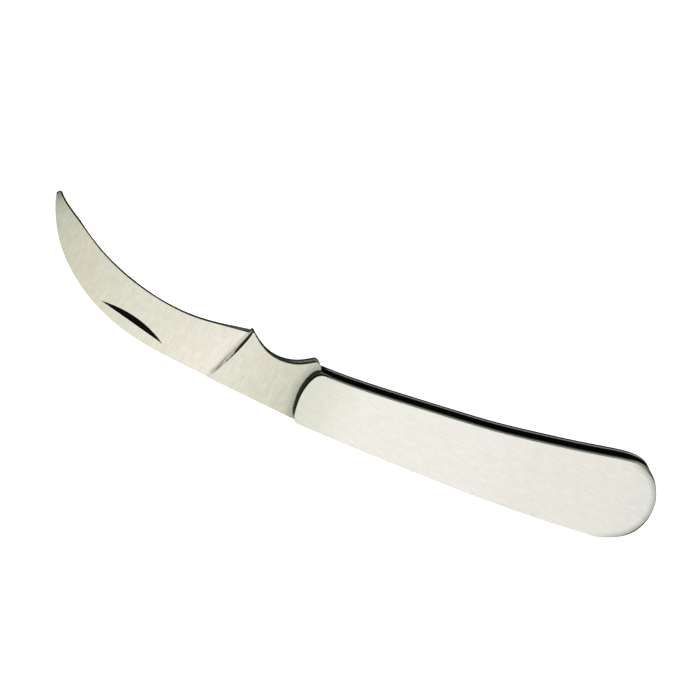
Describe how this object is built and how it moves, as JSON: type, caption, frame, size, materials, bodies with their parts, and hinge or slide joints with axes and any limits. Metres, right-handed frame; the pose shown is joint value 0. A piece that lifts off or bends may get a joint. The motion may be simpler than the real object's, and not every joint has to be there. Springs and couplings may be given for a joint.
{
  "type": "folding hook-bladed knife",
  "caption": "Folding slip-joint knife with a hooked blade sharpened on its inner curve, and a plain all-steel handle with an open slot.",
  "frame": {"origin": "the pivot pin's axis at the outer face of the rear scale, on which the knife lies", "axes": "+X along the handle to the butt, +Y towards the slot and the cutting edge, +Z through the knife from the rear scale to the front scale; the open blade points along -X"},
  "size_m": [0.1819, 0.0434, 0.0063],
  "materials": {
    "blade_steel": "satin ground stainless steel",
    "scale_steel": "fine satin stainless steel",
    "spring_steel": "satin on its back, dark inside the slot",
    "pin_steel": "ground flush with the scales"
  },
  "bodies": {
    "handle": {"front_scale": "scale_steel", "rear_scale": "scale_steel", "backspring": "spring_steel", "pivot_pin": "pin_steel", "spring_pin": "pin_steel", "butt_pin": "pin_steel"},
    "blade": {"blade": "blade_steel"}
  },
  "joints": [
    {"name": "blade_fold", "type": "hinge", "parent": "handle", "child": "blade", "pos_m": [0, 0, 0.00313], "axis": [0, 0, -1], "range_deg": [0, 158], "deforming": ["backspring"]}
  ]
}
